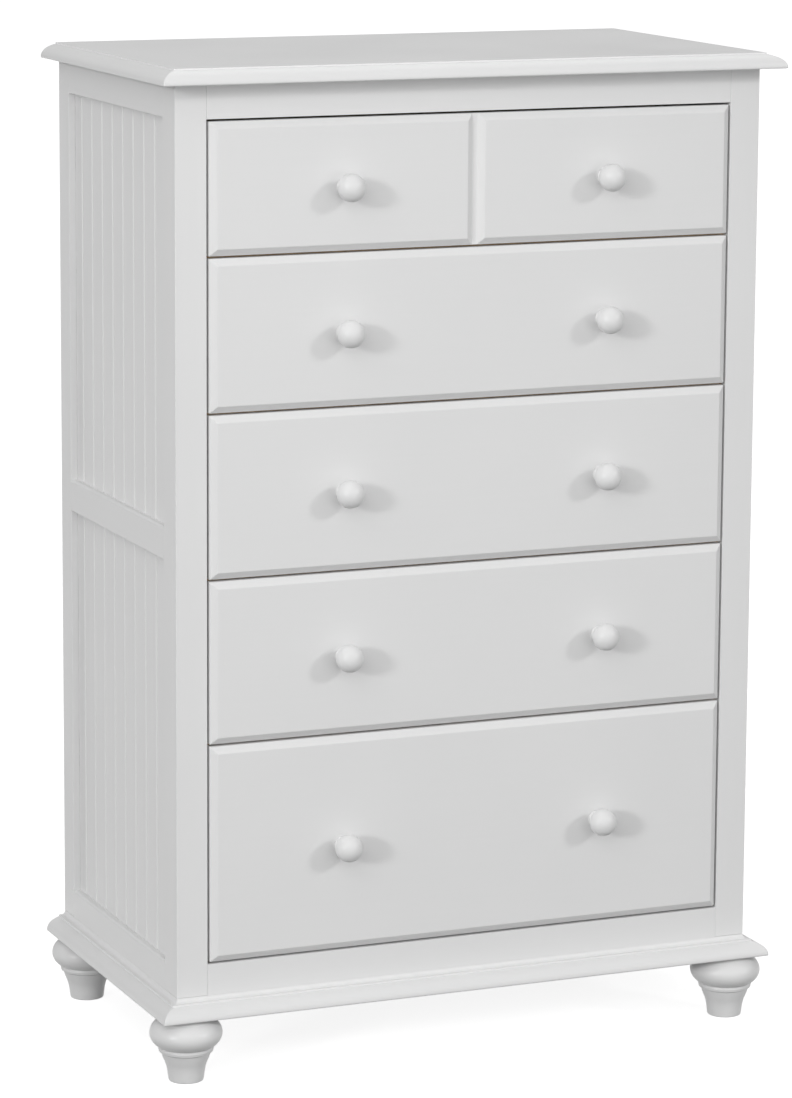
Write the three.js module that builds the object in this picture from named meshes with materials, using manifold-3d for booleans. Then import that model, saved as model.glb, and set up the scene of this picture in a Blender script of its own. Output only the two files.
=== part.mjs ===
// Tall chest of drawers in white painted wood: a post and rail carcass on four turned feet, with
// grooved side panels, a moulded top and base, and five wide drawers with two turned knobs each.
// The top drawer front is scored down the middle, so that it looks like two small drawers.
// Millimetres. X runs across the width, the drawers face -Y, and Z is the height above the floor.
import * as THREE from 'three';
import Module from 'manifold-3d';

// Outer size of the carcass
const BODY_WIDTH = 860;
const BODY_DEPTH = 477;
const TOP_Z = 1380;
const TOP_THICKNESS = 21;
const FOOT_HEIGHT = 92;
const BASE_THICKNESS = 28;
const CARCASS_TOP_Z = TOP_Z - TOP_THICKNESS;
const CARCASS_BOTTOM_Z = FOOT_HEIGHT + BASE_THICKNESS;
const SIDE_X = BODY_WIDTH / 2;

// Y = 0 is the middle of the whole depth: the knobs stand on drawer fronts that stand proud of the
// posts, and the bulbs of the rear feet reach a little past the back
const FIELD_PROUD = 7;
const KNOB_REACH = 41;
const FOOT_BULB_RADIUS = 50;
const REAR_FOOT_INSET_Y = 42;
const REAR_FOOT_REACH = FOOT_BULB_RADIUS - REAR_FOOT_INSET_Y;
const BACK_Y = (BODY_DEPTH + FIELD_PROUD + KNOB_REACH - REAR_FOOT_REACH) / 2;
const FRONT_Y = BACK_Y - BODY_DEPTH;

// Top and base boards overhang the carcass at the front and sides
const TOP_SIDE_OVERHANG = 27;
const TOP_FRONT_OVERHANG = 33;
const TOP_EDGE_WIDTH = 22;
const TOP_STEP = 2;
const BASE_OVERHANG = 28;
const BASE_COVE_RADIUS = 6;
const BASE_LEDGE = 9.5;
const BASE_STEP = 2.5;

// Their edge moulding: a narrow chamfer at the foot, then one full curve up to a step
const EDGE_TIP_INSET = 1.5;
const EDGE_TIP_HEIGHT = 2.5;
const EDGE_NOSE_INSET = 1.5;
const EDGE_NOSE_RISE = 0.78;
const EDGE_STEPS = 6;

// Corner posts and the rails and panels between them
const POST_WIDTH = 44.5;
const FRONT_POST_DEPTH = 48;
const REAR_POST_DEPTH = 42;
const FRONT_RAIL_THICKNESS = 20;
const SIDE_TOP_RAIL_BOTTOM_Z = 1312;
const SIDE_MIDDLE_RAIL_Z = [718, 762];
const SIDE_BOTTOM_RAIL_TOP_Z = 160;
const PANEL_RECESS = 10;
const PANEL_THICKNESS = 9;
const PANEL_TONGUE = 6;
const TOP_RAIL_BACKING = 10;
const PANEL_GROOVE_PITCH = 43;
const PANEL_GROOVE_COUNT = 9;
const PANEL_FIRST_GROOVE = 63;
const PANEL_GROOVE_WIDTH = 5;
const PANEL_GROOVE_DEPTH = 2.5;
const BACK_PANEL_THICKNESS = 6;
const BACK_PANEL_INSET = 6;

// Joints between drawer fronts, from the one under the top rail down to the one over the bottom rail
const DRAWER_JOINT_Z = [1310, 1128.5, 918.5, 693.5, 467.5, 165];
const FRONT_GAP = 3;
const SHELF_THICKNESS = 16;
const RUNNER_REACH = 65;
const RUNNER_TOP_Z = 164;

// Drawers
const FRONT_EDGE_THICKNESS = 13;
const FRONT_BEVEL = 9.5;
const SCORE_SLOPE = 8.5;
const SCORE_FLAT = 8;
const BOARD_THICKNESS = 12;
const BOTTOM_THICKNESS = 6;
const BOTTOM_TONGUE = 6;
const BOTTOM_LIFT = 10;
const BOX_REAR_CLEARANCE = 13;
const BOX_TOP_CLEARANCE = 14;
const SLIDE_CLEARANCE = 0.5;
const SHELF_FRONT_CLEARANCE = 1;

// Turned knobs and feet
const KNOB_X = 191.5;
const KNOB_DROP = 2;
const KNOB_RADIUS = 19;
const KNOB_HALF_DEPTH = 17;
const KNOB_NECK_RADIUS = 9;
const KNOB_COLLAR_RADIUS = 12;
const KNOB_COLLAR_THICKNESS = 2.5;
const KNOB_SIDES = 16;
const FOOT_INSET_X = 19;
const FRONT_FOOT_INSET_Y = 17;
const FOOT_BULB_HALF_HEIGHT = 29;
const FOOT_BULB_Z = 67;
const FOOT_SIDES = 20;

const wasm = await Module();
wasm.setup();

const paint = { color: 0xf1f1ee, roughness: 0.35, metalness: 0 };
const bareWood = { color: 0xd8bd92, roughness: 0.7, metalness: 0 };

function namedMesh(name, geometry, look) {
  const mesh = new THREE.Mesh(geometry, new THREE.MeshStandardMaterial(look));
  mesh.name = name;
  return mesh;
}

// Rectangular board between two opposite corners
function board(name, look, from, to) {
  const low = new THREE.Vector3(...from);
  const size = new THREE.Vector3(...to).sub(low);
  const mesh = namedMesh(name, new THREE.BoxGeometry(size.x, size.y, size.z), look);
  mesh.position.copy(low).addScaledVector(size, 0.5);
  return mesh;
}

// Solid through a stack of outlines with the same number of corners, counterclockwise as seen from the last
function loft(outlines) {
  const count = outlines[0].length;
  const last = (outlines.length - 1) * count;
  const indices = [];
  for (let row = 0; row < outlines.length - 1; row += 1) {
    for (let corner = 0; corner < count; corner += 1) {
      const here = row * count + corner;
      const next = row * count + ((corner + 1) % count);
      indices.push(here, next, next + count);
      indices.push(here, next + count, here + count);
    }
  }
  for (let corner = 1; corner < count - 1; corner += 1) {
    indices.push(0, corner + 1, corner);
    indices.push(last, last + corner, last + corner + 1);
  }
  const geometry = new THREE.BufferGeometry();
  geometry.setAttribute('position', new THREE.Float32BufferAttribute(outlines.flat(2), 3));
  geometry.setIndex(indices);
  return geometry;
}

// Straight prism of an outline in the XZ plane, run along Y
function prismAlongY(outline, fromY, toY) {
  const shape = new THREE.Shape(outline.map(([x, z]) => new THREE.Vector2(x, z)));
  const geometry = new THREE.ExtrudeGeometry(shape, { depth: toY - fromY, bevelEnabled: false });
  geometry.rotateX(Math.PI / 2);
  geometry.translate(0, toY, 0);
  return geometry;
}

// Straight prism of an outline in the XY plane, run along Z
function prismAlongZ(outline, fromZ, toZ) {
  const shape = new THREE.Shape(outline.map(([x, y]) => new THREE.Vector2(x, y)));
  const geometry = new THREE.ExtrudeGeometry(shape, { depth: toZ - fromZ, bevelEnabled: false });
  geometry.translate(0, 0, fromZ);
  return geometry;
}

function asManifold(geometry) {
  const solid = new wasm.Mesh({
    numProp: 3,
    vertProperties: new Float32Array(geometry.getAttribute('position').array),
    triVerts: new Uint32Array(geometry.getIndex().array),
  });
  return new wasm.Manifold(solid);
}

function cutAway(geometry, tools) {
  const cut = tools.reduce((solid, tool) => solid.subtract(asManifold(tool)), asManifold(geometry));
  const { vertProperties, triVerts } = cut.getMesh();
  const result = new THREE.BufferGeometry();
  result.setAttribute('position', new THREE.Float32BufferAttribute(vertProperties, 3));
  result.setIndex(Array.from(triVerts));
  return result;
}

// Rectangle in plan for one level of a moulded board: flush at the back, mitred at the front corners
function planOutline(sideOverhang, frontOverhang, z) {
  const x = SIDE_X + sideOverhang;
  const y = FRONT_Y - frontOverhang;
  return [[-x, y, z], [x, y, z], [x, BACK_Y, z], [-x, BACK_Y, z]];
}

// Edge moulding of one width and height, as [inset, rise] pairs from its foot to its upper edge
function edgeMoulding(width, height) {
  const edge = [[EDGE_TIP_INSET, 0]];
  const start = [0, EDGE_TIP_HEIGHT];
  const corner = [EDGE_NOSE_INSET, height * EDGE_NOSE_RISE];
  for (let step = 0; step <= EDGE_STEPS; step += 1) {
    const t = step / EDGE_STEPS;
    edge.push([0, 1].map((axis) => (
      start[axis] * (1 - t) ** 2 + corner[axis] * 2 * t * (1 - t) + [width, height][axis] * t ** 2
    )));
  }
  return edge;
}

// Top board: the edge moulding, and a small step up to the flat top
function topBoard() {
  const edge = edgeMoulding(TOP_EDGE_WIDTH, TOP_THICKNESS - TOP_STEP);
  edge.push([TOP_EDGE_WIDTH, TOP_THICKNESS]);
  const levels = edge.map(([inset, rise]) => (
    planOutline(TOP_SIDE_OVERHANG - inset, TOP_FRONT_OVERHANG - inset, CARCASS_TOP_Z + rise)
  ));
  return namedMesh('top_board', loft(levels), paint);
}

// Base board: the edge moulding, a step up to a ledge, and a cove to the carcass
function baseBoard() {
  const ledgeRise = BASE_THICKNESS - BASE_COVE_RADIUS;
  const edge = edgeMoulding(BASE_OVERHANG - BASE_LEDGE, ledgeRise - BASE_STEP);
  edge.push([BASE_OVERHANG - BASE_LEDGE, ledgeRise]);
  for (let step = 0; step <= EDGE_STEPS; step += 1) {
    const turn = (step / EDGE_STEPS) * (Math.PI / 2);
    const inset = BASE_OVERHANG - BASE_COVE_RADIUS * (1 - Math.sin(turn));
    edge.push([inset, BASE_THICKNESS - BASE_COVE_RADIUS * Math.cos(turn)]);
  }
  const levels = edge.map(([inset, rise]) => (
    planOutline(BASE_OVERHANG - inset, BASE_OVERHANG - inset, FOOT_HEIGHT + rise)
  ));
  return namedMesh('base_board', loft(levels), paint);
}

// Corner post with a groove for the side panel in its face towards the other post
function cornerPost(side, isFront) {
  const depth = isFront ? FRONT_POST_DEPTH : REAR_POST_DEPTH;
  const outerY = isFront ? FRONT_Y : BACK_Y;
  const inward = isFront ? 1 : -1;
  const innerY = outerY + inward * depth;
  const grooveY = innerY - inward * PANEL_TONGUE;
  const grooveX = SIDE_X - PANEL_RECESS;
  const outline = [
    [SIDE_X, outerY],
    [SIDE_X, innerY],
    [grooveX, innerY],
    [grooveX, grooveY],
    [grooveX - PANEL_THICKNESS, grooveY],
    [grooveX - PANEL_THICKNESS, innerY],
    [SIDE_X - POST_WIDTH, innerY],
    [SIDE_X - POST_WIDTH, outerY],
  ];
  const geometry = prismAlongZ(outline.map(([x, y]) => [side.sign * x, y]), CARCASS_BOTTOM_Z, CARCASS_TOP_Z);
  return namedMesh(`${isFront ? 'front' : 'rear'}_${side.name}_post`, geometry, paint);
}

// Side rails between the posts: the top one is grooved for the panel, the middle one lies on it, and the
// bottom one has the panel in a rebate and a runner for the lowest drawer behind it
function sideRails(side) {
  const fromY = FRONT_Y + FRONT_POST_DEPTH;
  const toY = BACK_Y - REAR_POST_DEPTH;
  const panelOuterX = SIDE_X - PANEL_RECESS;
  const panelInnerX = panelOuterX - PANEL_THICKNESS;
  const outlines = {
    top: [
      [SIDE_X, SIDE_TOP_RAIL_BOTTOM_Z],
      [SIDE_X, CARCASS_TOP_Z],
      [panelInnerX - TOP_RAIL_BACKING, CARCASS_TOP_Z],
      [panelInnerX - TOP_RAIL_BACKING, SIDE_TOP_RAIL_BOTTOM_Z],
      [panelInnerX, SIDE_TOP_RAIL_BOTTOM_Z],
      [panelInnerX, SIDE_TOP_RAIL_BOTTOM_Z + PANEL_TONGUE],
      [panelOuterX, SIDE_TOP_RAIL_BOTTOM_Z + PANEL_TONGUE],
      [panelOuterX, SIDE_TOP_RAIL_BOTTOM_Z],
    ],
    middle: [
      [SIDE_X, SIDE_MIDDLE_RAIL_Z[0]],
      [SIDE_X, SIDE_MIDDLE_RAIL_Z[1]],
      [panelOuterX, SIDE_MIDDLE_RAIL_Z[1]],
      [panelOuterX, SIDE_MIDDLE_RAIL_Z[0]],
    ],
    bottom: [
      [SIDE_X, CARCASS_BOTTOM_Z],
      [SIDE_X, SIDE_BOTTOM_RAIL_TOP_Z],
      [panelOuterX, SIDE_BOTTOM_RAIL_TOP_Z],
      [panelOuterX, SIDE_BOTTOM_RAIL_TOP_Z - PANEL_TONGUE],
      [panelInnerX, SIDE_BOTTOM_RAIL_TOP_Z - PANEL_TONGUE],
      [panelInnerX, RUNNER_TOP_Z],
      [SIDE_X - RUNNER_REACH, RUNNER_TOP_Z],
      [SIDE_X - RUNNER_REACH, CARCASS_BOTTOM_Z],
    ],
  };
  return Object.entries(outlines).map(([place, outline]) => {
    const mirrored = outline.map(([x, z]) => [side.sign * x, z]);
    return namedMesh(`${side.name}_${place}_rail`, prismAlongY(mirrored, fromY, toY), paint);
  });
}

// Side panel with vertical V grooves on its outer face, held by tongues in the posts and rails
function sidePanel(side) {
  const outerX = SIDE_X - PANEL_RECESS;
  const fromY = FRONT_Y + FRONT_POST_DEPTH - PANEL_TONGUE;
  const toY = BACK_Y - REAR_POST_DEPTH + PANEL_TONGUE;
  const outline = [[outerX - PANEL_THICKNESS, fromY], [outerX, fromY]];
  for (let groove = 0; groove < PANEL_GROOVE_COUNT; groove += 1) {
    const y = FRONT_Y + PANEL_FIRST_GROOVE + groove * PANEL_GROOVE_PITCH;
    outline.push([outerX, y - PANEL_GROOVE_WIDTH / 2]);
    outline.push([outerX - PANEL_GROOVE_DEPTH, y]);
    outline.push([outerX, y + PANEL_GROOVE_WIDTH / 2]);
  }
  outline.push([outerX, toY], [outerX - PANEL_THICKNESS, toY]);
  const geometry = prismAlongZ(
    outline.map(([x, y]) => [side.sign * x, y]),
    SIDE_BOTTOM_RAIL_TOP_Z - PANEL_TONGUE,
    SIDE_TOP_RAIL_BOTTOM_Z + PANEL_TONGUE,
  );
  return namedMesh(`${side.name}_side_panel`, geometry, paint);
}

// Turned foot: a flared leg, a ring, and a bulb under the base
function footGeometry() {
  const leg = [[0, 0], [23.5, 0], [24.3, 2], [25.5, 12], [27, 20], [29, 26], [32, 33], [34, 40]];
  const ring = [[37, 41.5], [38, 45], [37.2, 48.5]];
  const profile = [...leg, ...ring];
  const bulbFrom = -0.66;
  const bulbTo = 1.03;
  const bulbSteps = 8;
  for (let step = 0; step <= bulbSteps; step += 1) {
    const turn = bulbFrom + (bulbTo - bulbFrom) * (step / bulbSteps);
    profile.push([
      FOOT_BULB_RADIUS * Math.cos(turn),
      FOOT_BULB_Z + FOOT_BULB_HALF_HEIGHT * Math.sin(turn),
    ]);
  }
  const shoulderRadius = profile[profile.length - 1][0];
  profile.push([shoulderRadius, FOOT_HEIGHT], [0, FOOT_HEIGHT]);
  return lathe(profile, FOOT_SIDES).rotateX(Math.PI / 2);
}

// Turned knob standing on y = 0 towards -Y: collar, neck and ball
function knobGeometry() {
  const centre = KNOB_REACH - KNOB_HALF_DEPTH;
  const neckTurn = -Math.acos(KNOB_NECK_RADIUS / KNOB_RADIUS);
  const profile = [
    [0, 0],
    [KNOB_COLLAR_RADIUS, 0],
    [KNOB_COLLAR_RADIUS, KNOB_COLLAR_THICKNESS],
    [KNOB_NECK_RADIUS, KNOB_COLLAR_THICKNESS * 2],
  ];
  const ballSteps = 8;
  for (let step = 0; step < ballSteps; step += 1) {
    const turn = neckTurn + (Math.PI / 2 - neckTurn) * (step / ballSteps);
    profile.push([KNOB_RADIUS * Math.cos(turn), centre + KNOB_HALF_DEPTH * Math.sin(turn)]);
  }
  profile.push([0, KNOB_REACH]);
  return lathe(profile, KNOB_SIDES).rotateX(Math.PI);
}

function lathe(profile, sides) {
  return new THREE.LatheGeometry(profile.map(([radius, height]) => new THREE.Vector2(radius, height)), sides);
}

function feet() {
  return SIDES.flatMap((side) => {
    const x = side.sign * (SIDE_X - FOOT_INSET_X);
    const front = namedMesh(`front_${side.name}_foot`, footGeometry(), paint);
    front.position.set(x, FRONT_Y + FRONT_FOOT_INSET_Y, 0);
    const rear = namedMesh(`rear_${side.name}_foot`, footGeometry(), paint);
    rear.position.set(x, BACK_Y - REAR_FOOT_INSET_Y, 0);
    return [front, rear];
  });
}

// Front of a drawer: square edges level with the posts and a bevel all round a raised field
function drawerFront(name, height, isScored, slotZ) {
  const halfWidth = SIDE_X - POST_WIDTH - FRONT_GAP;
  const outlineAt = (y, inset) => [
    [-halfWidth + inset, y, inset],
    [halfWidth - inset, y, inset],
    [halfWidth - inset, y, height - inset],
    [-halfWidth + inset, y, height - inset],
  ];
  const blank = loft([
    outlineAt(FRONT_EDGE_THICKNESS, 0),
    outlineAt(0, 0),
    outlineAt(-FIELD_PROUD, FRONT_BEVEL),
  ]);
  const slotX = halfWidth - BOARD_THICKNESS + BOTTOM_TONGUE;
  const slot = loft([
    rectangleAcross(slotX, slotZ, slotZ + BOTTOM_THICKNESS, FRONT_EDGE_THICKNESS + 1),
    rectangleAcross(slotX, slotZ, slotZ + BOTTOM_THICKNESS, FRONT_EDGE_THICKNESS - BOTTOM_TONGUE),
  ]);
  const cuts = [slot];
  if (isScored) {
    const wide = SCORE_FLAT / 2 + SCORE_SLOPE * (1 + 1 / FIELD_PROUD);
    cuts.push(loft([
      rectangleAcross(SCORE_FLAT / 2, -1, height + 1, 0),
      rectangleAcross(wide, -1, height + 1, -FIELD_PROUD - 1),
    ]));
  }
  return namedMesh(name, cutAway(blank, cuts), paint);
}

// Rectangle centred on X = 0 at one depth, counterclockwise as seen from -Y
function rectangleAcross(halfWidth, fromZ, toZ, y) {
  return [[-halfWidth, y, fromZ], [halfWidth, y, fromZ], [halfWidth, y, toZ], [-halfWidth, y, toZ]];
}

// Side of a drawer box with a groove for the bottom board
function drawerSide(name, side, height, fromY, toY) {
  const outerX = SIDE_X - POST_WIDTH - FRONT_GAP;
  const innerX = outerX - BOARD_THICKNESS;
  const outline = [
    [outerX, 0],
    [outerX, height],
    [innerX, height],
    [innerX, BOTTOM_LIFT + BOTTOM_THICKNESS],
    [innerX + BOTTOM_TONGUE, BOTTOM_LIFT + BOTTOM_THICKNESS],
    [innerX + BOTTOM_TONGUE, BOTTOM_LIFT],
    [innerX, BOTTOM_LIFT],
    [innerX, 0],
  ];
  const geometry = prismAlongY(outline.map(([x, z]) => [side.sign * x, z]), fromY, toY);
  return namedMesh(name, geometry, bareWood);
}

// Drawer counted from the top, with its box resting just above the shelf or runners below it
function drawer(number) {
  const upperZ = DRAWER_JOINT_Z[number - 1];
  const lowerZ = DRAWER_JOINT_Z[number];
  const isLowest = number === DRAWER_JOINT_Z.length - 1;
  const restZ = isLowest ? RUNNER_TOP_Z : lowerZ + SHELF_THICKNESS / 2;
  const boxZ = restZ + SLIDE_CLEARANCE;
  const boxHeight = upperZ - BOX_TOP_CLEARANCE - boxZ;
  const frontZ = lowerZ + FRONT_GAP / 2;
  const frontHeight = upperZ - lowerZ - FRONT_GAP;
  const prefix = `drawer_${number}`;
  const rearY = BACK_Y - BACK_PANEL_INSET - BACK_PANEL_THICKNESS - BOX_REAR_CLEARANCE - FRONT_Y;
  const innerX = SIDE_X - POST_WIDTH - FRONT_GAP - BOARD_THICKNESS;

  const group = new THREE.Group();
  group.name = prefix;
  group.position.set(0, FRONT_Y, boxZ);

  const slotZ = boxZ + BOTTOM_LIFT - frontZ;
  const front = drawerFront(`${prefix}_front`, frontHeight, number === 1, slotZ);
  front.position.z = frontZ - boxZ;
  group.add(front);
  SIDES.forEach((side) => {
    group.add(drawerSide(`${prefix}_${side.name}_side`, side, boxHeight, FRONT_EDGE_THICKNESS, rearY));
    const knob = namedMesh(`${prefix}_${side.name}_knob`, knobGeometry(), paint);
    knob.position.set(side.sign * KNOB_X, -FIELD_PROUD, (upperZ + lowerZ) / 2 - KNOB_DROP - boxZ);
    group.add(knob);
  });
  const bottomX = innerX + BOTTOM_TONGUE;
  const bottomTopZ = BOTTOM_LIFT + BOTTOM_THICKNESS;
  group.add(board(
    `${prefix}_bottom`,
    bareWood,
    [-bottomX, FRONT_EDGE_THICKNESS - BOTTOM_TONGUE, BOTTOM_LIFT],
    [bottomX, rearY, bottomTopZ],
  ));
  group.add(board(
    `${prefix}_back`,
    bareWood,
    [-innerX, rearY - BOARD_THICKNESS, bottomTopZ],
    [innerX, rearY, boxHeight],
  ));
  return group;
}

// Front rails, back panel and the shelves that carry the drawers, all between the posts
function innerCarcass() {
  const x = SIDE_X - POST_WIDTH;
  const railBackY = FRONT_Y + FRONT_RAIL_THICKNESS;
  const backPanelY = BACK_Y - BACK_PANEL_INSET - BACK_PANEL_THICKNESS;
  const topRailZ = DRAWER_JOINT_Z[0] + FRONT_GAP / 2;
  const bottomRailZ = DRAWER_JOINT_Z[DRAWER_JOINT_Z.length - 1] - FRONT_GAP / 2;
  const pieces = [
    board('front_top_rail', paint, [-x, FRONT_Y, topRailZ], [x, railBackY, CARCASS_TOP_Z]),
    board('front_bottom_rail', paint, [-x, FRONT_Y, CARCASS_BOTTOM_Z], [x, railBackY, bottomRailZ]),
    board(
      'back_panel',
      bareWood,
      [-x, backPanelY, CARCASS_BOTTOM_Z],
      [x, backPanelY + BACK_PANEL_THICKNESS, CARCASS_TOP_Z],
    ),
  ];
  const shelfFrontY = FRONT_Y + FRONT_EDGE_THICKNESS + SHELF_FRONT_CLEARANCE;
  DRAWER_JOINT_Z.slice(1, -1).forEach((jointZ, index) => {
    pieces.push(board(
      `shelf_under_drawer_${index + 1}`,
      bareWood,
      [-x, shelfFrontY, jointZ - SHELF_THICKNESS / 2],
      [x, backPanelY, jointZ + SHELF_THICKNESS / 2],
    ));
  });
  return pieces;
}

const SIDES = [{ name: 'left', sign: -1 }, { name: 'right', sign: 1 }];

const chest = new THREE.Group();
chest.name = 'tall_chest_of_drawers';
chest.add(topBoard(), baseBoard(), ...innerCarcass(), ...feet());
SIDES.forEach((side) => {
  chest.add(cornerPost(side, true), cornerPost(side, false), ...sideRails(side), sidePanel(side));
});
for (let number = 1; number < DRAWER_JOINT_Z.length; number += 1) {
  chest.add(drawer(number));
}

export default chest;
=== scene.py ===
"""Looks of the tall chest of drawers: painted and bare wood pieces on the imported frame."""
import math

import bmesh
import bpy
from mathutils import Matrix, Vector


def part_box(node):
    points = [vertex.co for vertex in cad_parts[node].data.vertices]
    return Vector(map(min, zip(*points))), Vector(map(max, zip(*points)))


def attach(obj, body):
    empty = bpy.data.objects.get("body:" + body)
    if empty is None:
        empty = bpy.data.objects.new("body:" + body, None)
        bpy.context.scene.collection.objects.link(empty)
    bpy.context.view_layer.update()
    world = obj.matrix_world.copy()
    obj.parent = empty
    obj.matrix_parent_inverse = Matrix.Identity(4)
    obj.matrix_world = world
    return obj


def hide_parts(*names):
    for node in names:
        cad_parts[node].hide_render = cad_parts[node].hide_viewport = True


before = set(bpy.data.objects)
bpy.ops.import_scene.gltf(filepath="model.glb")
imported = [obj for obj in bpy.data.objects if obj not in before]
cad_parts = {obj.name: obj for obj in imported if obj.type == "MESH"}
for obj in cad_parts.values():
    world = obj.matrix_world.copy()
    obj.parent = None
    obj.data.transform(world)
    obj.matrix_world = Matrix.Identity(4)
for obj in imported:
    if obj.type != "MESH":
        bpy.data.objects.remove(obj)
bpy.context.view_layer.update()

MM = 0.001
QUARTER_TURN = math.pi / 2
SIDES = {"left": -1, "right": 1}
DRAWERS = range(1, 6)
AXES = "xyz"

# Places of the carcass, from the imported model
POST_LOW, POST_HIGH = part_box("front_right_post")
SIDE_X = POST_HIGH.x
FRONT_Y = POST_LOW.y

# Edges eased by sanding and paint
PAINTED_EASE = 0.9 * MM
JOINT_EASE = 0.45 * MM
BARE_EASE = 0.8 * MM
EASE_SEGMENTS = 3
EASE_ANGLE = math.radians(20)
SMOOTH_ANGLE = math.radians(38)
EASE_ROUNDNESS = 0.5
LARGEST_CUT = 0.45
OUTLINE_STEPS = 3
CORNER_RADIUS = 1.6 * MM
CORNER_STEPS = 4

# Moulded edges of the top and base boards
TIP_STEPS = 5
NOSE_STEPS = 20
ARRIS_STEPS = 4
COVE_STEPS = 10
EDGE_TIP_INSET = 1.5 * MM
EDGE_TIP_HEIGHT = 2.5 * MM
EDGE_NOSE_INSET = 1.5 * MM
EDGE_NOSE_RISE = 0.78
TOP_EDGE_WIDTH = 22 * MM
TOP_STEP = 2 * MM
BASE_COVE_RADIUS = 6 * MM
BASE_LEDGE = 9.5 * MM
BASE_STEP = 2.5 * MM
MOULDING_EASE = 0.8 * MM

# Side panels
PANEL_RECESS = 10 * MM
PANEL_THICKNESS = 9 * MM
PANEL_TONGUE = 6 * MM
TOP_RAIL_BACKING = 10 * MM
LEDGE_EASE = 3 * MM
RUNNER_REACH = 65 * MM
GROOVE_COUNT = 9
GROOVE_PITCH = 43 * MM
FIRST_GROOVE = 63 * MM
GROOVE_WIDTH = 5 * MM
GROOVE_DEPTH = 2.5 * MM
GROOVE_EASE = 1.3 * MM

# Drawers
FRONT_BEVEL = 9.5 * MM
SCORE_SLOPE = 8.5 * MM
SCORE_FLAT = 8 * MM

# Turned feet and knobs: the leg and the ring of a foot are points of (radius, height)
FOOT_SIDES = 72
FOOT_BULB_RADIUS = 50 * MM
FOOT_BULB_HALF_HEIGHT = 29 * MM
FOOT_BULB_Z = 67 * MM
FOOT_BULB_TURN = (-0.66, 1.03)
FOOT_LEG_MM = [(23.5, 0), (24.3, 2), (25.5, 12), (27, 20), (29, 26), (32, 33), (34, 40)]
FOOT_RING_MM = [(37, 41.5), (38, 45), (37.2, 48.5)]
KNOB_SIDES = 56
KNOB_REACH = 41 * MM
KNOB_RADIUS = 19 * MM
KNOB_HALF_DEPTH = 17 * MM
KNOB_NECK_RADIUS = 9 * MM
KNOB_COLLAR_RADIUS = 12 * MM
KNOB_COLLAR_THICKNESS = 2.5 * MM
TURNING_STEPS = 22
TURNING_EASE = 0.7 * MM

# Fastenings: the screw that holds each knob from inside its drawer, and the pins of the back panel
SCREW_HEAD_RADIUS = 4.2 * MM
SCREW_HEAD_HEIGHT = 2.2 * MM
WASHER_RADIUS = 6.5 * MM
WASHER_THICKNESS = 1 * MM
SCREW_SIDES = 24
# Half section of the head and its recess, as shares of its radius and of its height
SCREW_HEAD_PROFILE = [(1, 0), (1, 0.55), (0.75, 0.9), (0.3, 1), (0.22, 0.3), (0, 0.3)]
PIN_SIDES = 12
PIN_RADIUS = 1.6 * MM
PIN_TOP_SHARE = 0.8
PIN_HEIGHT = 0.5 * MM
PIN_INSET = 7 * MM
PIN_SPACING = 0.16

# Colours, each set from dark to light
PAINT_COLOURS = ((0.763, 0.764, 0.764), (0.779, 0.779, 0.778))
BIRCH = ((0.40, 0.235, 0.11), (0.56, 0.375, 0.20), (0.66, 0.47, 0.28))
VENEER = ((0.55, 0.39, 0.235), (0.68, 0.51, 0.33), (0.76, 0.60, 0.41))
ZINC_COLOURS = ((0.50, 0.51, 0.53), (0.66, 0.67, 0.68))
WHITE = (1, 1, 1, 1)

# Surfaces: noise and ring scales are per metre, roughness runs from low to high
EVEN = (1, 1, 1)
PAINT_GRAIN_SCALES = (9, 260)
PAINT_FILM_SCALE = 330
PAINT_CLOUD_SCALE = 5
PAINT_CLOUD_OFFSET = (3, 1, 2)
PAINT_ROUGHNESS = (0.33, 0.43)
PAINT_IOR = 1.48
PAINT_BUMP = 0.04 * MM
PAINT_BUMP_STRENGTH = 0.4
WOOD_DRIFT_SCALES = (0.9, 4.5)
WOOD_RING_SCALES = (0.35, 1)
WOOD_RING_OFFSET = (0.31, 0.13, 0.22)
WOOD_FIBRE_SCALES = (14, 620)
WOOD_PORE_SCALES = (60, 1500)
WOOD_PORE_SHARE = 0.35
WOOD_ROUGHNESS = (0.52, 0.7)
WOOD_BUMP = 0.1 * MM
WOOD_BUMP_STRENGTH = 0.5
BIRCH_RINGS = 26
VENEER_RINGS = 20
ZINC_MARK_SCALE = 900
ZINC_ROUGHNESS = (0.28, 0.42)
ZINC_BUMP = 0.02 * MM
ZINC_BUMP_STRENGTH = 0.5

# Camera: a long lens, looking a little down at the front and the left side
LENS_MM = 141.89
SENSOR_MM = 36
SHIFT_Y = -0.0902
CAMERA_PLACE = (-2.3592, -5.5395, 1.8404)
CAMERA_AZIMUTH = math.radians(22.888)
CAMERA_FALL = math.radians(9.681)
CAMERA_ROLL = math.radians(0.34)

# Lights: directions are degrees to the right of the chest's front, and degrees up
RIGHT_LAMP = {"azimuth": 45, "rise": 24, "strength": 0.575, "spread": 9}
LEFT_LAMP = {"azimuth": -60, "rise": 14, "strength": 0.913, "spread": 9}
LAMP_DISTANCE = 5
SOFTBOX_SIZE = 2.4
SOFTBOX_DISTANCE = 3.6
SOFTBOXES = {
    "front_softbox": {"azimuth": 10, "rise": 10, "power": 20},
    "left_softbox": {"azimuth": -35, "rise": 22, "power": 26.5},
    "far_left_softbox": {"azimuth": -60, "rise": 45, "power": 9},
    "back_softbox": {"azimuth": 150, "rise": 55, "power": 22.5},
}
AIM = Vector((0, 0, 0.75))
SKY_ABOVE = 0.44
SKY_BELOW = 0.08
SKY_FADE = 0.4
FLOOR_SIZE = 120
FLOOR_PAPER_SCALE = 40
FLOOR_ALBEDO = 0.5
FLOOR_MOTTLE = 1.02
FLOOR_GLOW = 0.82


# ---------------------------------------------------------------- mesh making

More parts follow.
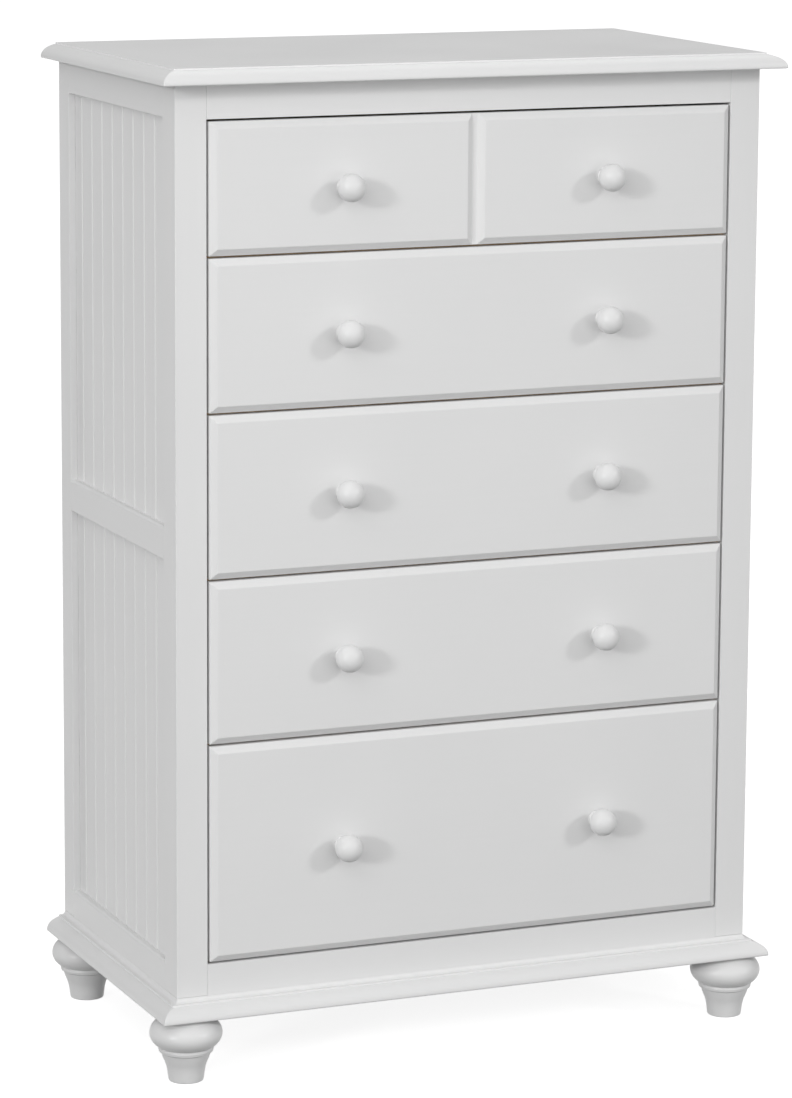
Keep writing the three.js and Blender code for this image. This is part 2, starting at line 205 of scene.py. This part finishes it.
def curve(start, corner, end, steps):
    """Points of a smooth curve that leaves start towards corner and arrives at end from it."""
    start, corner, end = Vector(start), Vector(corner), Vector(end)
    points = []
    for step in range(steps + 1):
        t = step / steps
        points.append(tuple(start * (1 - t) ** 2 + corner * (2 * t * (1 - t)) + end * t ** 2))
    return points


def eased_outline(points, radius, steps=OUTLINE_STEPS, closed=True):
    """Outline with each sharp corner rounded by a short curve."""
    count = len(points)
    result = []
    for index, corner in enumerate(points):
        corner = Vector(corner)
        if not closed and index in (0, count - 1):
            result.append(tuple(corner))
            continue
        before = Vector(points[index - 1]) - corner
        after = Vector(points[(index + 1) % count]) - corner
        turn = math.pi - before.angle(after)
        if turn < EASE_ANGLE:
            result.append(tuple(corner))
            continue
        cut = min(
            radius * math.tan(turn / 2), LARGEST_CUT * before.length, LARGEST_CUT * after.length,
        )
        start = corner + before.normalized() * cut
        end = corner + after.normalized() * cut
        result += curve(start, corner, end, steps)
    return result


def mesh_from(vertices, faces):
    mesh = bmesh.new()
    made = [mesh.verts.new(vertex) for vertex in vertices]
    for face in faces:
        mesh.faces.new([made[index] for index in face])
    mesh.normal_update()
    return mesh


def loft(rings):
    """Closed solid through rings with the same number of points, with a flat cap at each end."""
    count = len(rings[0])
    faces = [list(range(count))[::-1]]
    for row in range(len(rings) - 1):
        here = row * count
        for corner in range(count):
            after = (corner + 1) % count
            above = here + count
            faces.append([here + corner, here + after, above + after, above + corner])
    last = (len(rings) - 1) * count
    faces.append(list(range(last, last + count)))
    return mesh_from([point for ring in rings for point in ring], faces)


def ease_edges(mesh, width):
    """Rounds every sharp edge of a solid, after making its faces look outwards."""
    bmesh.ops.recalc_face_normals(mesh, faces=mesh.faces)
    sharp = [
        edge for edge in mesh.edges
        if edge.is_manifold and edge.calc_face_angle(0) > EASE_ANGLE
    ]
    bmesh.ops.bevel(
        mesh, geom=sharp, offset=width, offset_type="OFFSET", segments=EASE_SEGMENTS,
        profile=EASE_ROUNDNESS, affect="EDGES", clamp_overlap=True,
    )
    return mesh


def placed(axis, along, across):
    """Point from its height along an axis and its two coordinates across, in X, Y, Z order."""
    coordinates = list(across)
    coordinates.insert(AXES.index(axis), along)
    return coordinates


def prism(outline, axis, start, end, ease):
    """Straight board with a cross-section outline, run along an axis, with eased edges."""
    ends = [[placed(axis, at, point) for point in outline] for at in (start, end)]
    return ease_edges(loft(ends), ease)


def box(low, high, ease):
    outline = [(low.x, low.y), (high.x, low.y), (high.x, high.y), (low.x, high.y)]
    return prism(outline, "z", low.z, high.z, ease)


def turned(profile, sides, centre, axis):
    """Solid turned about an axis: its profile of (radius, distance) starts and ends on the axis."""
    sign = -1 if axis == "y" else 1
    vertices, rings = [], []
    for radius, distance in profile:
        points = 1 if radius == 0 else sides
        rings.append((len(vertices), points))
        for side in range(points):
            turn = 2 * math.pi * side / sides
            across = (radius * math.cos(turn), radius * math.sin(turn))
            vertices.append(centre + Vector(placed(axis, sign * distance, across)))
    faces = []
    for (lower, lower_count), (upper, upper_count) in zip(rings, rings[1:]):
        for side in range(sides):
            after = (side + 1) % sides
            low_pair = [lower + side % lower_count, lower + after % lower_count]
            high_pair = [upper + after % upper_count, upper + side % upper_count]
            faces.append(list(dict.fromkeys(low_pair + high_pair)))
    return mesh_from(vertices, faces)


# ---------------------------------------------------------------- procedural materials

# Places of the colour sockets of a Mix node
MIX_FIRST_COLOUR = 6
MIX_SECOND_COLOUR = 7
MIX_RESULT_COLOUR = 2


class Shading:
    """Node tree of one material, with short calls for adding and joining nodes."""

    def __init__(self, name):
        self.material = bpy.data.materials.new(name)
        self.material.use_nodes = True
        self.tree = self.material.node_tree
        self.surface = self.tree.nodes["Principled BSDF"]

    def add(self, kind, settings=None, **inputs):
        node = self.tree.nodes.new(kind)
        for key, value in (settings or {}).items():
            setattr(node, key, value)
        for key, value in inputs.items():
            self.feed(node.inputs[key.replace("_", " ")], value)
        return node

    def feed(self, socket, value):
        if isinstance(value, bpy.types.NodeSocket):
            self.tree.links.new(value, socket)
        else:
            socket.default_value = value

    def scaled_place(self, scale, offset=(0, 0, 0)):
        place = self.add("ShaderNodeTexCoord").outputs["Object"]
        mapping = self.add("ShaderNodeMapping", Vector=place, Scale=scale, Location=offset)
        return mapping.outputs["Vector"]

    def noise(self, place, scale, detail=2.0, roughness=0.5, distortion=0.0):
        node = self.add(
            "ShaderNodeTexNoise", Vector=place, Scale=scale, Detail=detail,
            Roughness=roughness, Distortion=distortion,
        )
        return node.outputs["Fac"]

    def remap(self, value, from_low, from_high, to_low, to_high):
        node = self.add(
            "ShaderNodeMapRange", Value=value, From_Min=from_low, From_Max=from_high,
            To_Min=to_low, To_Max=to_high,
        )
        return node.outputs["Result"]

    def math(self, operation, first, second):
        node = self.add("ShaderNodeMath", {"operation": operation})
        self.feed(node.inputs[0], first)
        self.feed(node.inputs[1], second)
        return node.outputs["Value"]

    def weighted(self, *parts):
        """Sum of values, each times its share."""
        products = [self.math("MULTIPLY", value, share) for value, share in parts]
        total = products[0]
        for product in products[1:]:
            total = self.math("ADD", total, product)
        return total

    def ramp(self, value, *stops):
        node = self.add("ShaderNodeValToRGB", Fac=value)
        elements = node.color_ramp.elements
        while len(elements) < len(stops):
            elements.new(0.5)
        for element, (position, colour) in zip(elements, stops):
            element.position = position
            element.color = (*colour, 1)
        return node.outputs["Color"]

    def bump(self, height, distance, strength):
        node = self.add("ShaderNodeBump", Height=height, Distance=distance, Strength=strength)
        self.feed(self.surface.inputs["Normal"], node.outputs["Normal"])


def along_grain(axis, along, across):
    """Texture scale that is stretched along one axis."""
    return placed(axis, along, (across, across))


def paint(name, axis):
    """White satin paint sprayed on wood: a trace of grain shows, and the film isn't quite level."""
    shading = Shading(name)
    grain_place = shading.scaled_place(along_grain(axis, *PAINT_GRAIN_SCALES))
    grain = shading.noise(grain_place, 1, detail=5, roughness=0.6)
    film = shading.noise(shading.scaled_place(EVEN), PAINT_FILM_SCALE, detail=3, roughness=0.55)
    cloud_place = shading.scaled_place(EVEN, PAINT_CLOUD_OFFSET)
    cloud = shading.noise(cloud_place, PAINT_CLOUD_SCALE, detail=3)
    dark, light = PAINT_COLOURS
    colour = shading.ramp(shading.weighted((grain, 0.3), (cloud, 0.7)), (0.3, dark), (0.7, light))
    shading.feed(shading.surface.inputs["Base Color"], colour)
    roughness = shading.remap(shading.math("MULTIPLY", cloud, film), 0.1, 0.4, *PAINT_ROUGHNESS)
    shading.feed(shading.surface.inputs["Roughness"], roughness)
    shading.surface.inputs["IOR"].default_value = PAINT_IOR
    shading.bump(shading.weighted((grain, 0.5), (film, 0.5)), PAINT_BUMP, PAINT_BUMP_STRENGTH)
    return shading.material


def bare_wood(name, axis, colours, ring_scale):
    """Bare planed wood: growth rings cut along the board, fine fibres, and small dark pores."""
    shading = Shading(name)
    dark, middle, light = colours
    drift = shading.noise(shading.scaled_place(along_grain(axis, *WOOD_DRIFT_SCALES)), 1, detail=3)
    rings = shading.add(
        "ShaderNodeTexWave",
        {"wave_type": "RINGS", "rings_direction": axis.upper(), "wave_profile": "SIN"},
        Vector=shading.scaled_place(along_grain(axis, *WOOD_RING_SCALES), WOOD_RING_OFFSET),
        Scale=ring_scale, Distortion=4.0, Detail=3.0, Detail_Scale=0.7, Detail_Roughness=0.55,
    ).outputs["Fac"]
    fibre_place = shading.scaled_place(along_grain(axis, *WOOD_FIBRE_SCALES))
    fibre = shading.noise(fibre_place, 1, detail=5, roughness=0.65)
    pores = shading.noise(shading.scaled_place(along_grain(axis, *WOOD_PORE_SCALES)), 1, detail=1)
    tone = shading.weighted((rings, 0.2), (fibre, 0.45), (drift, 0.35))
    colour = shading.ramp(tone, (0.2, dark), (0.48, middle), (0.75, light))
    mixed = shading.add("ShaderNodeMix", {"data_type": "RGBA"})
    shading.feed(mixed.inputs["Factor"], shading.remap(pores, 0.62, 0.72, 0.0, WOOD_PORE_SHARE))
    shading.feed(mixed.inputs[MIX_FIRST_COLOUR], colour)
    shading.feed(mixed.inputs[MIX_SECOND_COLOUR], (*dark, 1))
    shading.feed(shading.surface.inputs["Base Color"], mixed.outputs[MIX_RESULT_COLOUR])
    roughness = shading.remap(fibre, 0.3, 0.7, *WOOD_ROUGHNESS)
    shading.feed(shading.surface.inputs["Roughness"], roughness)
    shading.bump(shading.weighted((fibre, 1), (rings, 0.05)), WOOD_BUMP, WOOD_BUMP_STRENGTH)
    return shading.material


def steel():
    """Zinc-plated steel with faint turning marks."""
    shading = Shading("zinc_steel")
    marks = shading.noise(shading.scaled_place(EVEN), ZINC_MARK_SCALE, detail=3)
    dark, light = ZINC_COLOURS
    shading.feed(
        shading.surface.inputs["Base Color"], shading.ramp(marks, (0.3, dark), (0.7, light)),
    )
    roughness = shading.remap(marks, 0.3, 0.7, *ZINC_ROUGHNESS)
    shading.feed(shading.surface.inputs["Roughness"], roughness)
    shading.surface.inputs["Metallic"].default_value = 1
    shading.bump(marks, ZINC_BUMP, ZINC_BUMP_STRENGTH)
    return shading.material


PAINT = {axis: paint(f"white_paint_{axis}", axis) for axis in AXES}
WOOD = {axis: bare_wood(f"bare_wood_{axis}", axis, BIRCH, BIRCH_RINGS) for axis in AXES}
PLYWOOD = bare_wood("plywood_veneer", "z", VENEER, VENEER_RINGS)
STEEL = steel()


# ---------------------------------------------------------------- pieces

def piece(name, mesh, material, body, *nodes, slot=None):
    """Puts a finished mesh in the scene on its body, in place of the CAD nodes it stands for."""
    bmesh.ops.recalc_face_normals(mesh, faces=mesh.faces)
    data = bpy.data.meshes.new(name)
    mesh.to_mesh(data)
    mesh.free()
    data.materials.append(material)
    data.polygons.foreach_set("use_smooth", [True] * len(data.polygons))
    data.set_sharp_from_angle(angle=SMOOTH_ANGLE)
    made = bpy.data.objects.new(name, data)
    bpy.context.scene.collection.objects.link(made)
    normals = made.modifiers.new("flat_faces", "WEIGHTED_NORMAL")
    normals.keep_sharp = True
    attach(made, body)
    if nodes:
        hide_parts(*nodes)


def painted(node, mesh, axis, body="carcass"):
    piece(f"{node}_painted", mesh, PAINT[axis], body, node, slot="white_paint")


def bare(node, mesh, axis, body="carcass"):
    piece(f"{node}_planed", mesh, WOOD[axis], body, node, slot="bare_wood")


def edge_moulding(width, height, step):
    """Rounded tip, one full curve, a step and a soft arris, as (inset, rise) from below."""
    tip = curve((EDGE_TIP_INSET, 0), (0, 0), (0, EDGE_TIP_HEIGHT), TIP_STEPS)
    corner = (EDGE_NOSE_INSET, (height - step) * EDGE_NOSE_RISE)
    nose = curve((0, EDGE_TIP_HEIGHT), corner, (width, height - step), NOSE_STEPS)
    below, beside = (width, height - MOULDING_EASE), (width + MOULDING_EASE, height)
    arris = curve(below, (width, height), beside, ARRIS_STEPS)
    return tip + nose[1:] + arris


def plan_ring(inset, z, low, high):
    """Outline in plan of one level of a moulded board: mitred in front, flush at the back."""
    corners = [
        (low.x + inset, low.y + inset, z),
        (high.x - inset, low.y + inset, z),
        (high.x - inset, high.y, z),
        (low.x + inset, high.y, z),
    ]
    return eased_outline(corners, CORNER_RADIUS, CORNER_STEPS)


def moulded_board(node, edge):
    """Board whose edge follows a profile of (inset, rise), from the underside to the upper face."""
    low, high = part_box(node)
    rings = [plan_ring(inset, low.z + rise, low, high) for inset, rise in edge]
    painted(node, loft(rings), "x")


def top_edge():
    low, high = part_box("top_board")
    return edge_moulding(TOP_EDGE_WIDTH, high.z - low.z, TOP_STEP)


def base_edge():
    """The moulding with its step, a ledge, and a cove to the carcass."""
    low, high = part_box("base_board")
    overhang = high.x - SIDE_X
    ledge = high.z - low.z - BASE_COVE_RADIUS
    width = overhang - BASE_LEDGE
    edge = edge_moulding(width, ledge, BASE_STEP)
    for step in range(COVE_STEPS + 1):
        turn = QUARTER_TURN * step / COVE_STEPS
        inset = overhang - BASE_COVE_RADIUS * (1 - math.sin(turn))
        edge.append((inset, high.z - low.z - BASE_COVE_RADIUS * math.cos(turn)))
    return edge


def mirrored(outline, sign):
    return [(sign * x, across) for x, across in outline]


def corner_post(node, sign):
    """Post with a groove for the side panel in its face towards the other post."""
    low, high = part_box(node)
    is_front = node.startswith("front")
    outer_y, inner_y = (low.y, high.y) if is_front else (high.y, low.y)
    groove_y = inner_y + (PANEL_TONGUE if outer_y > inner_y else -PANEL_TONGUE)
    groove_x = SIDE_X - PANEL_RECESS
    inner_x = SIDE_X - (high.x - low.x)
    outline = [
        (SIDE_X, outer_y), (SIDE_X, inner_y), (groove_x, inner_y), (groove_x, groove_y),
        (groove_x - PANEL_THICKNESS, groove_y), (groove_x - PANEL_THICKNESS, inner_y),
        (inner_x, inner_y), (inner_x, outer_y),
    ]
    painted(node, prism(mirrored(outline, sign), "z", low.z, high.z, PAINTED_EASE), "z")


def side_rails(side, sign):
    """Rails between the posts: the panel sits in the outer two and behind the middle one."""
    outer_x = SIDE_X - PANEL_RECESS
    inner_x = outer_x - PANEL_THICKNESS
    top_low, top_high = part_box(f"{side}_top_rail")
    middle_low, middle_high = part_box(f"{side}_middle_rail")
    bottom_low, bottom_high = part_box(f"{side}_bottom_rail")
    rebate_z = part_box(f"{side}_side_panel")[0].z
    ledge_z = rebate_z + PANEL_TONGUE
    outlines = {
        "top": [
            (SIDE_X, top_low.z), (SIDE_X, top_high.z), (inner_x - TOP_RAIL_BACKING, top_high.z),
            (inner_x - TOP_RAIL_BACKING, top_low.z), (inner_x, top_low.z),
            (inner_x, top_low.z + PANEL_TONGUE), (outer_x, top_low.z + PANEL_TONGUE),
            (outer_x, top_low.z),
        ],
        "middle": [
            (SIDE_X, middle_low.z), (SIDE_X, middle_high.z - LEDGE_EASE),
            (SIDE_X - LEDGE_EASE, middle_high.z), (outer_x, middle_high.z), (outer_x, middle_low.z),
        ],
        "bottom": [
            (SIDE_X, bottom_low.z), (SIDE_X, ledge_z - LEDGE_EASE), (SIDE_X - LEDGE_EASE, ledge_z),
            (outer_x, ledge_z), (outer_x, rebate_z), (inner_x, rebate_z),
            (inner_x, bottom_high.z), (SIDE_X - RUNNER_REACH, bottom_high.z),
            (SIDE_X - RUNNER_REACH, bottom_low.z),
        ],
    }
    for place, outline in outlines.items():
        shape = prism(mirrored(outline, sign), "y", top_low.y, top_high.y, JOINT_EASE)
        painted(f"{side}_{place}_rail", shape, "y")


def side_panel(side, sign):
    """Panel with a row of upright V grooves in its outer face."""
    node = f"{side}_side_panel"
    low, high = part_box(node)
    outer_x = SIDE_X - PANEL_RECESS
    outline = [(outer_x - PANEL_THICKNESS, low.y), (outer_x, low.y)]
    for groove in range(GROOVE_COUNT):
        y = FRONT_Y + FIRST_GROOVE + groove * GROOVE_PITCH
        outline += [
            (outer_x, y - GROOVE_WIDTH / 2),
            (outer_x - GROOVE_DEPTH, y),
            (outer_x, y + GROOVE_WIDTH / 2),
        ]
    outline += [(outer_x, high.y), (outer_x - PANEL_THICKNESS, high.y)]
    outline = eased_outline(mirrored(outline, sign), GROOVE_EASE)
    painted(node, loft([[(x, y, z) for x, y in outline] for z in (low.z, high.z)]), "z")


def foot(node):
    low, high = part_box(node)
    centre = Vector(((low.x + high.x) / 2, (low.y + high.y) / 2, 0))
    profile = [(radius * MM, height * MM) for radius, height in FOOT_LEG_MM + FOOT_RING_MM]
    start, end = FOOT_BULB_TURN
    for step in range(TURNING_STEPS + 1):
        turn = start + (end - start) * step / TURNING_STEPS
        radius = FOOT_BULB_RADIUS * math.cos(turn)
        profile.append((radius, FOOT_BULB_Z + FOOT_BULB_HALF_HEIGHT * math.sin(turn)))
    profile.append((profile[-1][0], high.z))
    eased = eased_outline([(0, 0), *profile, (0, high.z)], TURNING_EASE, closed=False)
    profile = [(0, 0), *eased[1:-1], (0, high.z)]
    painted(node, turned(profile, FOOT_SIDES, centre, "z"), "z")


def knob(node, body):
    """Knob on a collar, turned in one piece."""
    low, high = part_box(node)
    centre = Vector(((low.x + high.x) / 2, high.y, (low.z + high.z) / 2))
    middle = KNOB_REACH - KNOB_HALF_DEPTH
    neck_turn = -math.acos(KNOB_NECK_RADIUS / KNOB_RADIUS)
    profile = [
        (0, 0), (KNOB_COLLAR_RADIUS, 0), (KNOB_COLLAR_RADIUS, KNOB_COLLAR_THICKNESS),
        (KNOB_NECK_RADIUS, KNOB_COLLAR_THICKNESS * 2),
    ]
    for step in range(TURNING_STEPS):
        turn = neck_turn + (QUARTER_TURN - neck_turn) * step / TURNING_STEPS
        profile.append((KNOB_RADIUS * math.cos(turn), middle + KNOB_HALF_DEPTH * math.sin(turn)))
    profile.append((0, KNOB_REACH))
    profile = eased_outline(profile, TURNING_EASE, closed=False)
    painted(node, turned(profile, KNOB_SIDES, centre, "y"), "z", body)


def knob_screw(name, centre, body):
    """Pan-head screw and washer on the inner face of a drawer front."""
    profile = [(0, 0), (WASHER_RADIUS, 0), (WASHER_RADIUS, -WASHER_THICKNESS)]
    for radius, height in SCREW_HEAD_PROFILE:
        profile.append((SCREW_HEAD_RADIUS * radius, -WASHER_THICKNESS - SCREW_HEAD_HEIGHT * height))
    piece(name, turned(profile, SCREW_SIDES, centre, "y"), STEEL, body)


def drawer_front(node, body, is_scored):
    """Front with a bevel round one field, or round two with a scored channel between them."""
    low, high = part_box(node)
    fields = [(low.x, high.x, FRONT_BEVEL, FRONT_BEVEL)]
    if is_scored:
        edge = SCORE_FLAT / 2
        fields = [
            (low.x, -edge, FRONT_BEVEL, SCORE_SLOPE),
            (edge, high.x, SCORE_SLOPE, FRONT_BEVEL),
        ]
    columns = [x for field in fields for x in field[:2]]
    vertices = [(x, FRONT_Y, z) for z in (low.z, high.z) for x in columns]
    vertices += [(x, high.y, z) for z in (low.z, high.z) for x in (low.x, high.x)]
    count = len(columns)
    back_low, back_high = 2 * count, 2 * count + 2
    faces = [
        [back_low + 1, back_low, back_high, back_high + 1],
        [*range(count), back_low + 1, back_low],
        [*range(2 * count - 1, count - 1, -1), back_high, back_high + 1],
        [0, back_low, back_high, count],
        [count - 1, 2 * count - 1, back_high + 1, back_low + 1],
    ]
    if is_scored:
        faces.append([1, 2, count + 2, count + 1])
    for index, (left, right, left_bevel, right_bevel) in enumerate(fields):
        outer = [2 * index, 2 * index + 1, count + 2 * index + 1, count + 2 * index]
        first = len(vertices)
        vertices += [
            (left + left_bevel, low.y, low.z + FRONT_BEVEL),
            (right - right_bevel, low.y, low.z + FRONT_BEVEL),
            (right - right_bevel, low.y, high.z - FRONT_BEVEL),
            (left + left_bevel, low.y, high.z - FRONT_BEVEL),
        ]
        inner = [first + corner for corner in range(4)]
        faces.append(inner)
        for corner in range(4):
            after = (corner + 1) % 4
            faces.append([outer[corner], outer[after], inner[after], inner[corner]])
    painted(node, ease_edges(mesh_from(vertices, faces), PAINTED_EASE), "x", body)


def drawer_box(number, body):
    """Sides, back and bottom of one drawer."""
    for side, sign in SIDES.items():
        node = f"drawer_{number}_{side}_side"
        low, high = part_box(node)
        bottom_low, bottom_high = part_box(f"drawer_{number}_bottom")
        outer_x, inner_x = (high.x, low.x) if sign > 0 else (low.x, high.x)
        slot_x = bottom_high.x if sign > 0 else bottom_low.x
        outline = [
            (outer_x, low.z), (outer_x, high.z), (inner_x, high.z), (inner_x, bottom_high.z),
            (slot_x, bottom_high.z), (slot_x, bottom_low.z), (inner_x, bottom_low.z),
            (inner_x, low.z),
        ]
        bare(node, prism(outline, "y", low.y, high.y, BARE_EASE), "y", body)
    for place in ("back", "bottom"):
        node = f"drawer_{number}_{place}"
        bare(node, box(*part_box(node), BARE_EASE), "x", body)


def back_panel_pins():
    """Pins round the edge of the back panel, all in one piece."""
    low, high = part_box("back_panel")
    mesh = bmesh.new()
    columns = round((high.x - low.x) / PIN_SPACING)
    rows = round((high.z - low.z) / PIN_SPACING)
    places = []
    for step in range(columns + 1):
        x = low.x + PIN_INSET + (high.x - low.x - 2 * PIN_INSET) * step / columns
        places += [(x, low.z + PIN_INSET), (x, high.z - PIN_INSET)]
    for step in range(1, rows):
        z = low.z + PIN_INSET + (high.z - low.z - 2 * PIN_INSET) * step / rows
        places += [(low.x + PIN_INSET, z), (high.x - PIN_INSET, z)]
    profile = [(0, 0), (PIN_RADIUS, 0), (PIN_RADIUS * PIN_TOP_SHARE, -PIN_HEIGHT), (0, -PIN_HEIGHT)]
    for x, z in places:
        pin = turned(profile, PIN_SIDES, Vector((x, high.y, z)), "y")
        scratch = bpy.data.meshes.new("pin")
        pin.to_mesh(scratch)
        pin.free()
        mesh.from_mesh(scratch)
        bpy.data.meshes.remove(scratch)
    piece("back_panel_pins", mesh, STEEL, "carcass")


moulded_board("top_board", top_edge())
moulded_board("base_board", base_edge())
for side, sign in SIDES.items():
    for end in ("front", "rear"):
        corner_post(f"{end}_{side}_post", sign)
        foot(f"{end}_{side}_foot")
    side_rails(side, sign)
    side_panel(side, sign)
for rail in ("front_top_rail", "front_bottom_rail"):
    painted(rail, box(*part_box(rail), JOINT_EASE), "x")
for number in DRAWERS[:-1]:
    shelf = f"shelf_under_drawer_{number}"
    bare(shelf, box(*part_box(shelf), BARE_EASE), "x")
piece(
    "back_panel_veneered", box(*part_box("back_panel"), JOINT_EASE), PLYWOOD, "carcass",
    "back_panel", slot="plywood",
)
back_panel_pins()
for number in DRAWERS:
    body = f"drawer_{number}"
    front = f"drawer_{number}_front"
    drawer_front(front, body, is_scored=number == 1)
    drawer_box(number, body)
    for side in SIDES:
        node = f"drawer_{number}_{side}_knob"
        knob(node, body)
        low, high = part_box(node)
        inner_face = Vector(((low.x + high.x) / 2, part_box(front)[1].y, (low.z + high.z) / 2))
        knob_screw(f"drawer_{number}_{side}_knob_screw", inner_face, body)


# ---------------------------------------------------------------- studio

def direction(azimuth, rise):
    """Unit vector towards a lamp."""
    azimuth, rise = math.radians(azimuth), math.radians(rise)
    level = math.cos(rise)
    return Vector((math.sin(azimuth) * level, -math.cos(azimuth) * level, math.sin(rise)))


def lamp(name, kind, place, **settings):
    """Light of a kind at a place, pointed at the middle of the chest."""
    data = bpy.data.lights.new(name, kind)
    for key, value in settings.items():
        setattr(data, key, value)
    made = bpy.data.objects.new(name, data)
    bpy.context.scene.collection.objects.link(made)
    made.location = place
    made.rotation_euler = (place - AIM).to_track_quat("Z", "Y").to_euler()


def soft_sky():
    """White surroundings, darker below the horizon."""
    world = bpy.data.worlds.new("soft_studio")
    bpy.context.scene.world = world
    world.use_nodes = True
    tree = world.node_tree
    place = tree.nodes.new("ShaderNodeTexCoord")
    height = tree.nodes.new("ShaderNodeSeparateXYZ")
    fade = tree.nodes.new("ShaderNodeMapRange")
    background = tree.nodes["Background"]
    tree.links.new(place.outputs["Generated"], height.inputs["Vector"])
    tree.links.new(height.outputs["Z"], fade.inputs["Value"])
    tree.links.new(fade.outputs["Result"], background.inputs["Strength"])
    fade.interpolation_type = "SMOOTHSTEP"
    limits = {"From Min": -SKY_FADE, "From Max": SKY_FADE, "To Min": SKY_BELOW, "To Max": SKY_ABOVE}
    for key, value in limits.items():
        fade.inputs[key].default_value = value
    background.inputs["Color"].default_value = WHITE


def studio_floor():
    """Pale glowing floor that takes a faint shadow and throws none of its own."""
    half = FLOOR_SIZE / 2
    corners = [(-half, -half, 0), (half, -half, 0), (half, half, 0), (-half, half, 0)]
    mesh = mesh_from(corners, [[0, 1, 2, 3]])
    data = bpy.data.meshes.new("studio_floor")
    mesh.to_mesh(data)
    mesh.free()
    floor = bpy.data.objects.new("studio_floor", data)
    bpy.context.scene.collection.objects.link(floor)
    shading = Shading("studio_floor_paper")
    paper = shading.noise(shading.scaled_place(EVEN), FLOOR_PAPER_SCALE, detail=3)
    dark, light = (FLOOR_ALBEDO,) * 3, (FLOOR_ALBEDO * FLOOR_MOTTLE,) * 3
    colour = shading.ramp(paper, (0.3, dark), (0.7, light))
    shading.feed(shading.surface.inputs["Base Color"], colour)
    shading.surface.inputs["Roughness"].default_value = 1
    shading.surface.inputs["Specular IOR Level"].default_value = 0
    shading.surface.inputs["Emission Color"].default_value = WHITE
    shading.surface.inputs["Emission Strength"].default_value = FLOOR_GLOW
    data.materials.append(shading.material)
    floor.visible_diffuse = False
    floor.visible_shadow = False


def photo_camera():
    """Camera at the photograph's viewing angle."""
    data = bpy.data.cameras.new("camera")
    data.sensor_width = SENSOR_MM
    data.lens = LENS_MM
    data.shift_y = SHIFT_Y
    data.clip_end = FLOOR_SIZE * 2
    camera = bpy.data.objects.new("camera", data)
    bpy.context.scene.collection.objects.link(camera)
    level = math.cos(CAMERA_FALL)
    forward = Vector((
        math.sin(CAMERA_AZIMUTH) * level, math.cos(CAMERA_AZIMUTH) * level, -math.sin(CAMERA_FALL),
    ))
    level_right = Vector((math.cos(CAMERA_AZIMUTH), -math.sin(CAMERA_AZIMUTH), 0))
    level_up = level_right.cross(forward)
    right = level_right * math.cos(CAMERA_ROLL) + level_up * math.sin(CAMERA_ROLL)
    camera.matrix_world = (
        Matrix.Translation(CAMERA_PLACE)
        @ Matrix((right, right.cross(forward), -forward)).transposed().to_4x4()
    )
    bpy.context.scene.camera = camera


for name, values in (("right_lamp", RIGHT_LAMP), ("left_lamp", LEFT_LAMP)):
    place = AIM + direction(values["azimuth"], values["rise"]) * LAMP_DISTANCE
    lamp(name, "SUN", place, energy=values["strength"], angle=math.radians(values["spread"]))
for name, values in SOFTBOXES.items():
    place = AIM + direction(values["azimuth"], values["rise"]) * SOFTBOX_DISTANCE
    lamp(name, "AREA", place, energy=values["power"], shape="SQUARE", size=SOFTBOX_SIZE)
soft_sky()
studio_floor()
photo_camera()
bpy.context.scene.view_settings.view_transform = "Standard"
